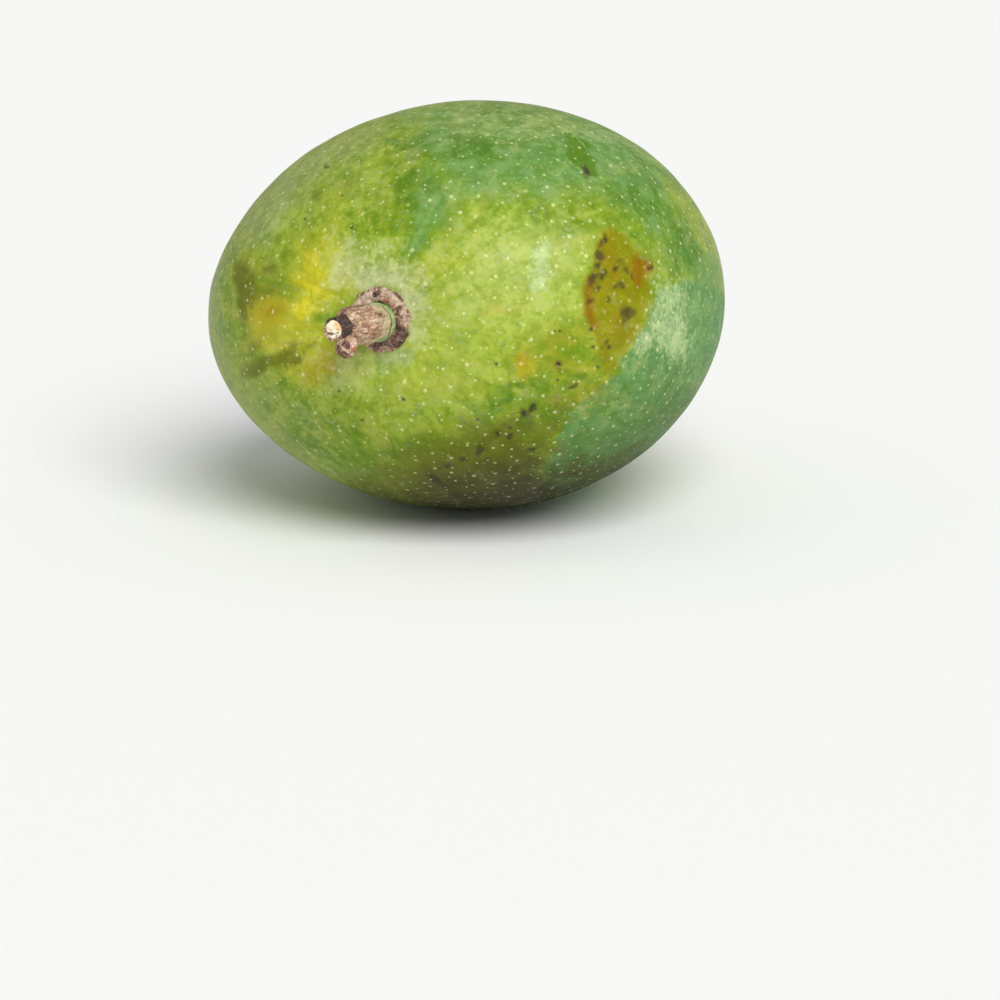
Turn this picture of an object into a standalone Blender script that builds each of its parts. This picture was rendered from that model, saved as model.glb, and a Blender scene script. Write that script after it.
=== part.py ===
# A mango as picked: one whole fruit lying on its cheek, with the stub of its stem.
# Metres, +Z up. The stem end points to -Y, the back of the fruit to +X and its belly to -X.
# The origin is under the middle of the whole mango, on the surface that it lies on.

from math import atan2, cos, radians, sin, tau

import bmesh
import bpy
import numpy as np
from mathutils import Matrix, Vector

# The fruit's own size, before it is laid down: end to end, back to belly, cheek to cheek
LENGTH = 0.1055
WIDTH = 0.0923
THICKNESS = 0.0726

# What turns a plain ellipsoid into this fruit. Shares are of the half width, the rest is in metres.
STEM_END_BROADER = 0.12
STEM_END_BLUNTER = 0.06
BACK_FULLER = 0.04
STEM_END_TO_BACK = 0.005
FAR_END_TO_BELLY = 0.005
DIMPLE_DEPTH = 0.0015
DIMPLE_RADIUS = 0.009
SHOULDER_HEIGHT = 0.0015
BEAK_HEIGHT = 0.0019
SINUS_DEPTH = 0.0015
UNEVENNESS = 0.00015

# How it lies
STEM_END_RAISED = radians(6.5)
BACK_RAISED = radians(7.5)
FLAT_SPOT_DEPTH = 0.0008

# The stem stands in a shallow socket, a little to the side that it leans to, and is cut at a slant
STEM_GAP = 0.0003
STEM_TO_SIDE = 0.0009
COLLAR_RADIUS = 0.0054
ROOT_DEPTH = 0.0016
PAD_RADIUS = 0.0034
SHAFT_RADIUS = 0.0031
TIP_RADIUS = 0.0023
STEM_LENGTH = 0.0111
STEM_HEADING = Vector((-0.485, -0.877, -0.015)).normalized()
BEND_START = 0.0015
BEND_LENGTH = 0.004
CUT_SLANT = -0.35
CUT_DEPTH = 0.003

# A side twig's stub, close to the stem's cut end
TWIG_STATION = 0.0066
TWIG_LENGTH = 0.0050
TWIG_RADIUS = 0.0017
TWIG_HEADING = Vector((-0.02, -0.64, -0.76)).normalized()

SEGMENTS_ROUND = 64
SEGMENTS_ALONG = 46
STEM_SEGMENTS = 28
POLES_CLOSER = 0.35


def swelling(directions, from_stem, round_axis, width):
    # 1 at a point so many degrees from the stem, turned round the fruit from its back, fading over the width
    turn = radians(round_axis)
    out = sin(radians(from_stem))
    centre = np.array([out * cos(turn), -cos(radians(from_stem)), out * sin(turn)])
    apart = np.arccos(np.clip(directions @ centre, -1, 1))
    return np.exp(-((apart / radians(width)) ** 2))


def fruit_surface(directions):
    # An ellipsoid, broader and blunter at the stem, its far end bent to the belly, with the swellings on it
    x, y, z = directions.T
    to_stem = np.clip(-y, 0, 1)
    away = (1 + y) / 2
    girth = 1 - STEM_END_BROADER * y + STEM_END_BLUNTER * to_stem**2
    across = x * girth * WIDTH / 2
    through = z * girth * (1 + BACK_FULLER * x) * THICKNESS / 2
    off_axis = np.hypot(across, z * girth * THICKNESS / 2)
    dimple = DIMPLE_DEPTH * np.exp(-((off_axis / DIMPLE_RADIUS) ** 2)) * (y < 0)
    points = np.stack(
        [
            across + STEM_END_TO_BACK * (1 - away) ** 3 - FAR_END_TO_BELLY * away**2,
            y * LENGTH / 2 + dimple,
            through,
        ],
        axis=-1,
    )
    rise = SHOULDER_HEIGHT * swelling(directions, 42, 180, 30)
    rise += BEAK_HEIGHT * swelling(directions, 161, 180, 12)
    rise -= SINUS_DEPTH * swelling(directions, 138, 180, 15)
    rise += UNEVENNESS * np.sin(7 * x + 1) * np.sin(6 * y + 2)
    rise += UNEVENNESS * np.sin(5 * z + 8 * y)
    points += directions * rise[:, None]
    size = np.ptp(points, axis=0)
    return points * (np.array([WIDTH, LENGTH, THICKNESS]) / size)


def fruit_mesh(down):
    # A sphere's rings, drawn towards both ends, laid on the fruit's surface and cut off flat at the bottom
    shape = bmesh.new()
    bmesh.ops.create_uvsphere(shape, u_segments=SEGMENTS_ROUND, v_segments=SEGMENTS_ALONG, radius=1)
    x, y, z = np.array([vertex.co for vertex in shape.verts]).T
    turn = np.arctan2(y, x)
    from_stem = np.arccos(np.clip(z, -1, 1))
    from_stem = from_stem - POLES_CLOSER / 2 * np.sin(2 * from_stem)
    out = np.sin(from_stem)
    points = fruit_surface(np.stack([out * np.cos(turn), -np.cos(from_stem), out * np.sin(turn)], axis=-1))
    for vertex, point in zip(shape.verts, points):
        vertex.co = point
    lowest = points[(points @ np.array(down)).argmax()]
    bmesh.ops.bisect_plane(
        shape,
        geom=shape.verts[:] + shape.edges[:] + shape.faces[:],
        plane_co=Vector(lowest) - down * FLAT_SPOT_DEPTH,
        plane_no=down,
        clear_outer=True,
    )
    bmesh.ops.holes_fill(shape, edges=shape.edges, sides=0)
    stem_seat = Vector(points[from_stem.argmin()])
    return finished(shape, "fruit"), stem_seat


def stem_outline():
    # Height over the skin and radius, from the middle of the root up to the middle of the cut end
    shaft_top = STEM_LENGTH - 0.0022
    return [
        (-ROOT_DEPTH, 0),
        (-ROOT_DEPTH, COLLAR_RADIUS - 0.0004),
        (-ROOT_DEPTH + 0.0004, COLLAR_RADIUS),
        (0.0005, COLLAR_RADIUS),
        (0.0010, COLLAR_RADIUS - 0.0004),
        (0.0012, COLLAR_RADIUS - 0.0010),
        (0.0010, PAD_RADIUS + 0.0003),
        (0.0010, PAD_RADIUS),
        (0.0014, PAD_RADIUS),
        (0.0019, SHAFT_RADIUS + 0.0001),
        (0.0026, SHAFT_RADIUS),
        (0.0036, SHAFT_RADIUS),
        (0.0046, SHAFT_RADIUS - 0.0001),
        (0.0058, SHAFT_RADIUS - 0.0001),
        (0.0070, SHAFT_RADIUS - 0.0002),
        (shaft_top - 0.0006, SHAFT_RADIUS - 0.0004),
        (shaft_top, TIP_RADIUS + 0.0003),
        (shaft_top + 0.0003, TIP_RADIUS),
        (STEM_LENGTH - 0.0003, TIP_RADIUS),
        (STEM_LENGTH, TIP_RADIUS - 0.0003),
        (STEM_LENGTH, 0),
    ]


def stem_axis(height, lean):
    # Straight up from the root, round an arc to the lean, then straight on
    bend_radius = BEND_LENGTH / lean
    turned = lean * min(max((height - BEND_START) / BEND_LENGTH, 0), 1)
    beyond = max(height - BEND_START - BEND_LENGTH, 0)
    sideways = bend_radius * (1 - cos(turned)) + beyond * sin(turned)
    upward = min(height, BEND_START) + bend_radius * sin(turned) + beyond * cos(turned)
    return Vector((sideways, 0, upward)), turned


def stem_mesh(lean):
    # The turned outline with its bark raised in ridges, then bent over along the stem's axis
    shape = bmesh.new()
    rim = [shape.verts.new((radius, 0, height)) for height, radius in stem_outline()]
    line = [shape.edges.new(ends) for ends in zip(rim, rim[1:])]
    bmesh.ops.spin(shape, geom=rim + line, axis=(0, 0, 1), angle=tau, steps=STEM_SEGMENTS)
    bmesh.ops.remove_doubles(shape, verts=shape.verts, dist=1e-6)
    for vertex in shape.verts:
        across, through, height = vertex.co
        turn = atan2(through, across)
        ragged = 0.03 * sin(5 * turn) + 0.02 * sin(9 * turn + 2) if 0 < height < 0.0012 else 0
        ridged = 0.03 * sin(7 * turn + 3 * sin(600 * height)) if height > 0.002 else 0
        slant = CUT_SLANT * max(height - STEM_LENGTH + CUT_DEPTH, 0) / CUT_DEPTH
        swell = 1 + ragged + ridged
        middle, turned = stem_axis(height - slant * across, lean)
        side = Vector((cos(turned), 0, -sin(turned)))
        vertex.co = middle + side * across * swell + Vector((0, through * swell, 0))
    return finished(shape, "stem")


def finished(shape, name):
    bmesh.ops.recalc_face_normals(shape, faces=shape.faces)
    mesh = bpy.data.meshes.new(name)
    shape.to_mesh(mesh)
    shape.free()
    mesh.shade_smooth()
    mesh.set_sharp_from_angle(angle=radians(35))
    return mesh


def round_bar(name, base_radius, end_radius, length):
    # A solid bar from its origin up +Z
    shape = bmesh.new()
    bmesh.ops.create_cone(
        shape,
        cap_ends=True,
        segments=STEM_SEGMENTS,
        radius1=base_radius,
        radius2=end_radius,
        depth=length,
        matrix=Matrix.Translation((0, 0, length / 2)),
    )
    return finished(shape, name)


def material(name, colour, roughness):
    surface = bpy.data.materials.new(name)
    surface.use_nodes = True
    shader = surface.node_tree.nodes["Principled BSDF"]
    shader.inputs["Base Color"].default_value = (*colour, 1)
    shader.inputs["Roughness"].default_value = roughness
    shader.inputs["Metallic"].default_value = 0
    return surface


def add(name, mesh, collection, parent, place, surface=None):
    thing = bpy.data.objects.new(name, mesh)
    collection.objects.link(thing)
    thing.parent = parent
    thing.matrix_local = place
    if surface:
        mesh.materials.append(surface)
    return thing


def helper(name, mesh, collection, parent, place):
    thing = add(name, mesh, collection, parent, place)
    thing.hide_render = True
    thing.display_type = "WIRE"
    return thing


def combine(thing, other, operation):
    change = thing.modifiers.new(operation.capitalize(), "BOOLEAN")
    change.operation = operation
    change.solver = "EXACT"
    change.object = other


def axes_along(upward, sideways, origin):
    # A place whose +Z runs upward and whose +X leans to the side given
    side = (sideways - upward * sideways.dot(upward)).normalized()
    turned = Matrix((side, upward.cross(side), upward)).transposed()
    return Matrix.Translation(origin) @ turned.to_4x4()


def corners(things):
    bpy.context.view_layer.update()
    graph = bpy.context.evaluated_depsgraph_get()
    found = []
    for thing in things:
        solid = thing.evaluated_get(graph)
        found += [solid.matrix_world @ vertex.co for vertex in solid.to_mesh().vertices]
        solid.to_mesh_clear()
    found = np.array(found)
    return found.min(axis=0), found.max(axis=0)


def build():
    for thing in list(bpy.data.objects):
        bpy.data.objects.remove(thing)
    parts = bpy.data.collections.new("mango")
    helpers = bpy.data.collections.new("cutters")
    bpy.context.scene.collection.children.link(parts)
    bpy.context.scene.collection.children.link(helpers)
    lying = bpy.data.objects.new("lying_place", None)
    parts.objects.link(lying)

    posed = Matrix.Rotation(-STEM_END_RAISED, 4, "X") @ Matrix.Rotation(-BACK_RAISED, 4, "Y")
    down = posed.to_3x3().transposed() @ Vector((0, 0, -1))
    fruit_shape, stem_seat = fruit_mesh(down)
    skin = material("mango_skin", (0.34, 0.42, 0.06), 0.42)
    fruit = add("fruit", fruit_shape, parts, lying, posed, skin)

    upward = posed.to_3x3() @ Vector((0, -1, 0))
    lean = upward.angle(STEM_HEADING)
    rooted = axes_along(upward, STEM_HEADING, posed @ stem_seat) @ Matrix.Translation((STEM_TO_SIDE, 0, 0))
    bark = material("stem_bark", (0.26, 0.16, 0.09), 0.8)
    stem = add("stem", stem_mesh(lean), parts, lying, rooted, bark)

    socket_depth = ROOT_DEPTH + STEM_GAP
    socket_shape = round_bar(
        "stem_socket", COLLAR_RADIUS + STEM_GAP, COLLAR_RADIUS + STEM_GAP, socket_depth + LENGTH / 10
    )
    socket_place = rooted @ Matrix.Translation((0, 0, -socket_depth))
    combine(fruit, helper("stem_socket", socket_shape, helpers, lying, socket_place), "DIFFERENCE")

    twig_foot = rooted @ stem_axis(TWIG_STATION, lean)[0]
    twig_shape = round_bar("side_twig", TWIG_RADIUS * 1.1, TWIG_RADIUS, TWIG_LENGTH)
    twig_place = axes_along(TWIG_HEADING, upward, twig_foot)
    combine(stem, helper("side_twig", twig_shape, helpers, lying, twig_place), "UNION")

    low, high = corners([fruit, stem])
    lying.location = (-(low[0] + high[0]) / 2, -(low[1] + high[1]) / 2, -low[2])
    bpy.context.view_layer.update()


build()
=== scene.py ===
from math import cos, pi, radians, sin

import bpy
import numpy as np
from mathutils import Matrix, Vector


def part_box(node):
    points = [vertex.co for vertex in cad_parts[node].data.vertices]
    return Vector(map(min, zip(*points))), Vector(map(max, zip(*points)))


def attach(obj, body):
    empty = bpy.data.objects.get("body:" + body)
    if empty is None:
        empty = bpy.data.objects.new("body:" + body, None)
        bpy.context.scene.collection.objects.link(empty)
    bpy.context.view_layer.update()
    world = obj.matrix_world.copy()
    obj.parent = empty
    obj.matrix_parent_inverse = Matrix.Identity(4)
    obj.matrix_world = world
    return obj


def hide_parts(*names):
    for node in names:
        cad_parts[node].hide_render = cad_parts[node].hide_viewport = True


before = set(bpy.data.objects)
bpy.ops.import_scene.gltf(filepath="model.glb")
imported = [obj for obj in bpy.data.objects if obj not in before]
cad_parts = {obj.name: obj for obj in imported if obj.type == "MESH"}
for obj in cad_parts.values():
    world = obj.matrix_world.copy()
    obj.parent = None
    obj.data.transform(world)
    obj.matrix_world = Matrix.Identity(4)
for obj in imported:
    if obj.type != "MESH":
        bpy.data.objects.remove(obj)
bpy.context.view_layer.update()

# A whole mango, lying on its cheek with the stub of its stem on, on a pale floor.
# Everything is in metres. A grid runs from the stem to the far end (rows) and round the fruit (columns).

photoSize = 1000  # the picture's side, in pixels


def unit(vectors):
    # each vector over its own length
    return vectors / np.linalg.norm(vectors, axis=-1, keepdims=True)


def smoothStep(values, low, high):
    # 0 below low, 1 above high, and 3t^2 - 2t^3 between them
    t = np.clip((values - low) / (high - low), 0, 1)
    return t * t * (3 - 2 * t)


def wander(points, reach, seed, count=40):
    # a slow random field, about -1 to 1: the mean of seeded sine waves that cross in all directions
    dice = np.random.default_rng(seed)
    waves = unit(dice.normal(size=(count, 3))) * dice.uniform(0.6, 1.4, (count, 1)) / reach
    phases = dice.uniform(0, 2 * pi, count)
    return np.sin(points @ waves.T + phases).mean(axis=-1) * np.sqrt(count / 2)


def newObject(name, data):
    made = bpy.data.objects.new(name, data)
    bpy.context.scene.collection.objects.link(made)
    return made


def closedSurface(name, grid, startPole, endPole):
    # a grid of rows and columns, joined round its columns and closed by a point at each end, facing out
    rows, columns = grid.shape[:2]
    points = np.concatenate([[startPole], grid.reshape(-1, 3), [endPole]])
    here = 1 + np.arange(rows * columns).reshape(rows, columns)
    beside = np.roll(here, -1, axis=1)
    last = rows * columns + 1
    faces = np.concatenate([
        np.stack([here[:-1], here[1:], beside[1:]], axis=-1).reshape(-1, 3),
        np.stack([here[:-1], beside[1:], beside[:-1]], axis=-1).reshape(-1, 3),
        np.stack([np.zeros(columns, int), here[0], beside[0]], axis=-1),
        np.stack([np.full(columns, last), beside[-1], here[-1]], axis=-1),
    ])
    corners = points[faces] - points.mean(axis=0)
    volume = np.einsum("ij,ij->", corners[:, 0], np.cross(corners[:, 1], corners[:, 2]))
    if volume < 0:
        faces = faces[:, ::-1]
    mesh = bpy.data.meshes.new(name)
    mesh.from_pydata(points.tolist(), [], faces.tolist())
    mesh.shade_smooth()
    return newObject(name, mesh), points


def paint(piece, name, values):
    # a number or a place for each point of the mesh, which its material reads by this name
    values = np.asarray(values, np.float32)
    if values.ndim == 1:
        layer = piece.data.attributes.new(name, "FLOAT", "POINT")
        layer.data.foreach_set("value", values)
    else:
        layer = piece.data.attributes.new(name, "FLOAT_VECTOR", "POINT")
        layer.data.foreach_set("vector", values.ravel())


# The nodes of a material, one short call each

def addNode(tree, kind, values=None, **settings):
    # a node of the kind named, with its settings, and its inputs set or linked
    made = tree.nodes.new(kind)
    for key, value in settings.items():
        setattr(made, key, value)
    for key, value in (values or {}).items():
        if isinstance(value, bpy.types.NodeSocket):
            tree.links.new(value, made.inputs[key])
        else:
            made.inputs[key].default_value = value
    return made


def colour(red, green, blue):
    # a screen colour of 0 to 255 as the linear one that a shader takes
    screen = np.array([red, green, blue]) / 255
    linear = np.where(screen < 0.04045, screen / 12.92, ((screen + 0.055) / 1.055) ** 2.4)
    return (*linear.tolist(), 1)


def painted(tree, name):
    return addNode(tree, "ShaderNodeAttribute", attribute_name=name).outputs["Fac"]


def paintedPlace(tree, name):
    return addNode(tree, "ShaderNodeAttribute", attribute_name=name).outputs["Vector"]


def objectPlace(tree):
    return addNode(tree, "ShaderNodeTexCoord").outputs["Object"]


def noise(tree, place, size, detail=3, roughness=0.55, distortion=0.0):
    # lumps of about the size given, in metres, spread to fill 0 to 1
    values = {"Vector": place, "Scale": 1 / size, "Detail": detail, "Roughness": roughness,
              "Distortion": distortion}
    lumps = addNode(tree, "ShaderNodeTexNoise", values).outputs["Fac"]
    values = {"Value": lumps, "From Min": 0.3, "From Max": 0.7}
    return addNode(tree, "ShaderNodeMapRange", values).outputs["Result"]


def maths(tree, operation, first, second=0.0):
    return addNode(tree, "ShaderNodeMath", {0: first, 1: second}, operation=operation).outputs[0]


def times(tree, first, second):
    return maths(tree, "MULTIPLY", first, second)


def stepped(tree, value, low, high, bottom=0.0, top=1.0):
    # bottom below low, top above high, smooth between
    values = {"Value": value, "From Min": low, "From Max": high, "To Min": bottom, "To Max": top}
    return addNode(tree, "ShaderNodeMapRange", values, interpolation_type="SMOOTHSTEP").outputs["Result"]


def swayed(tree, value, lumps, share):
    # value + share (lumps - 0.5)
    values = {0: lumps, 1: share, 2: maths(tree, "SUBTRACT", value, share / 2)}
    return addNode(tree, "ShaderNodeMath", values, operation="MULTIPLY_ADD").outputs[0]


def ragged(tree, mask, lumps, share, low, high):
    # a painted mask whose edge follows the lumps
    return stepped(tree, swayed(tree, mask, lumps, share), low, high)


def mixed(tree, share, first, second):
    return addNode(tree, "ShaderNodeMix", {0: share, 6: first, 7: second}, data_type="RGBA").outputs[2]


def mixedValue(tree, share, first, second):
    return addNode(tree, "ShaderNodeMix", {0: share, 2: first, 3: second}, data_type="FLOAT").outputs[0]


def ramp(tree, value, stops):
    made = addNode(tree, "ShaderNodeValToRGB", {"Fac": value})
    line = made.color_ramp
    while len(line.elements) < len(stops):
        line.elements.new(0.5)
    for element, (place, tone) in zip(line.elements, stops):
        element.position = place
        element.color = tone
    return made.outputs["Color"]


def newMaterial(name):
    made = bpy.data.materials.new(name)
    made.use_nodes = True
    return made, made.node_tree, made.node_tree.nodes["Principled BSDF"]


def dress(tree, shader, tone, height, distance):
    # the shader takes the colour, and its surface seems raised by the height times the distance
    tree.links.new(tone, shader.inputs["Base Color"])
    bump = addNode(tree, "ShaderNodeBump", {"Height": height, "Strength": 0.5, "Distance": distance})
    tree.links.new(bump.outputs["Normal"], shader.inputs["Normal"])


# Camera: where the picture was taken from, and where it shows the middle of the fruit

view = {
    "azimuth": 24,
    "elevation": 11,
    "lens": 150,  # mm, on a 36 mm sensor
    "pixelsPerMetre": 5560,  # at the fruit
    "shownAt": (465, 304),  # pixels
    "shownPlace": (-0.0036, 0, -0.00045),  # what is shown there, from the fruit's middle
}
focal = view["lens"] / 36 * photoSize


def makeCamera(middle):
    # from the middle out along azimuth and elevation, aimed so that the middle shows at its pixel
    turn, rise = radians(view["azimuth"]), radians(view["elevation"])
    away = Vector((sin(turn) * cos(rise), -cos(turn) * cos(rise), sin(rise)))
    distance = focal / view["pixelsPerMetre"]
    place = middle + away * distance
    right, up = (view["shownAt"][0] - photoSize / 2), (photoSize / 2 - view["shownAt"][1])
    aim = middle.copy()
    for _ in range(5):
        axes = (aim - place).to_track_quat("-Z", "Y").to_matrix()
        seen = axes.transposed() @ (middle - place)
        wrong = Vector((focal * seen.x / -seen.z - right, focal * seen.y / -seen.z - up, 0))
        aim += axes @ wrong * distance / focal
    lens = bpy.data.cameras.new("camera")
    lens.lens = view["lens"]
    lens.clip_start, lens.clip_end = 0.01, 50
    camera = newObject("camera", lens)
    camera.location = place
    camera.rotation_euler = (aim - place).to_track_quat("-Z", "Y").to_euler()
    bpy.context.scene.camera = camera
    bpy.context.view_layer.update()
    return camera


def pixelsOf(points, camera):
    # where the camera shows each point: 500 + focal x / depth across, 500 - focal y / depth down
    axes = np.array(camera.matrix_world.to_3x3())
    seen = (points - np.array(camera.location)) @ axes
    return photoSize / 2 + focal * seen[..., :2] * (1, -1) / -seen[..., 2:]


# The fruit's form, the same as its solid's

fruit = {
    "length": 0.1055, "width": 0.0923, "thickness": 0.0726,
    "stemEndBroader": 0.12, "stemEndBlunter": 0.06, "backFuller": 0.04,
    "stemEndToBack": 0.005, "farEndToBelly": 0.005,
    "dimpleDepth": 0.0015, "dimpleRadius": 0.009,
    "shoulder": 0.0015, "beak": 0.0019, "sinus": 0.0015, "unevenness": 0.00015,
    "stemEndRaised": 6.5, "backRaised": 7.5,  # degrees, as it lies
    "flatSpotDepth": 0.0008,
    "dents": 0.00005, "dentReaches": (0.0011, 0.0028),  # small soft hollows all over the skin
    "rows": 266, "columns": 360, "rowsDrawn": 0.1,
}


def swelling(directions, fromStem, roundAxis, width):
    # exp(-(angle from the centre / width)^2); the centre is in degrees from the stem and round from the back
    turn, out = radians(roundAxis), sin(radians(fromStem))
    centre = np.array([out * cos(turn), -cos(radians(fromStem)), out * sin(turn)])
    apart = np.arccos(np.clip(directions @ centre, -1, 1))
    return np.exp(-((apart / radians(width)) ** 2))


def fruitForm(directions):
    # an ellipsoid, broader and blunter at the stem, its far end bent to the belly, with swellings
    x, y, z = directions.T
    away = (1 + y) / 2
    girth = 1 - fruit["stemEndBroader"] * y + fruit["stemEndBlunter"] * np.clip(-y, 0, 1) ** 2
    across = x * girth * fruit["width"] / 2
    level = z * girth * fruit["thickness"] / 2
    dimple = np.exp(-((np.hypot(across, level) / fruit["dimpleRadius"]) ** 2)) * (y < 0)
    points = np.stack([
        across + fruit["stemEndToBack"] * (1 - away) ** 3 - fruit["farEndToBelly"] * away**2,
        y * fruit["length"] / 2 + fruit["dimpleDepth"] * dimple,
        level * (1 + fruit["backFuller"] * x),
    ], axis=-1)
    rise = fruit["shoulder"] * swelling(directions, 42, 180, 30)
    rise += fruit["beak"] * swelling(directions, 161, 180, 12)
    rise -= fruit["sinus"] * swelling(directions, 138, 180, 15)
    rise += fruit["unevenness"] * np.sin(7 * x + 1) * np.sin(6 * y + 2)
    rise += fruit["unevenness"] * np.sin(5 * z + 8 * y)
    points += directions * rise[:, None]
    sides = np.array([fruit["width"], fruit["length"], fruit["thickness"]])
    return points * (sides / np.ptp(points, axis=0))


def turnX(degrees):
    a = radians(degrees)
    return np.array([[1, 0, 0], [0, cos(a), -sin(a)], [0, sin(a), cos(a)]])


def turnY(degrees):
    a = radians(degrees)
    return np.array([[cos(a), 0, sin(a)], [0, 1, 0], [-sin(a), 0, cos(a)]])


lying = turnX(-fruit["stemEndRaised"]) @ turnY(-fruit["backRaised"])


def ballDirections(rows, columns):
    # the stem's pole, rows of directions round the axis, drawn towards both poles, and the far pole
    share = np.arange(1, rows + 1) / (rows + 1)
    fromStem = pi * share - fruit["rowsDrawn"] * np.sin(2 * pi * share)
    turn = 2 * pi * np.arange(columns) / columns
    fromStem, turn = np.meshgrid(fromStem, turn, indexing="ij")
    out = np.sin(fromStem)
    ring = np.stack([out * np.cos(turn), -np.cos(fromStem), out * np.sin(turn)], axis=-1)
    return np.concatenate([[[0, -1, 0]], ring.reshape(-1, 3), [[0, 1, 0]]])


def makeSkin():
    # the form turned as it lies, set into its solid's box, and flat where it would go below the surface
    directions = ballDirections(fruit["rows"], fruit["columns"])
    form = fruitForm(directions) @ lying.T
    low, high = (np.array(corner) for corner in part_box("fruit"))
    middle = (low + high) / 2 - (form.min(axis=0) + form.max(axis=0)) / 2
    middle[2] = low[2] - fruit["flatSpotDepth"] - form[:, 2].min()
    dents = sum(wander(form, reach, 7 + index) for index, reach in enumerate(fruit["dentReaches"]))
    points = form + (directions @ lying.T) * (fruit["dents"] * dents)[:, None] + middle
    points[:, 2] = np.maximum(points[:, 2], low[2])
    grid = points[1:-1].reshape(fruit["rows"], fruit["columns"], 3)
    piece, points = closedSurface("mango_skin", grid, points[0], points[-1])
    return piece, points, directions, middle


print("skin")
skin, skinPoints, skinDirections, fruitMiddle = makeSkin()
camera = makeCamera(Vector(fruitMiddle) + Vector(view["shownPlace"]))

# The skin's marks, by where the picture shows them. Each outline is how strong it is, how soft its edge is,
# and its corners; softness and corners are in the picture's pixels.

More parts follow.
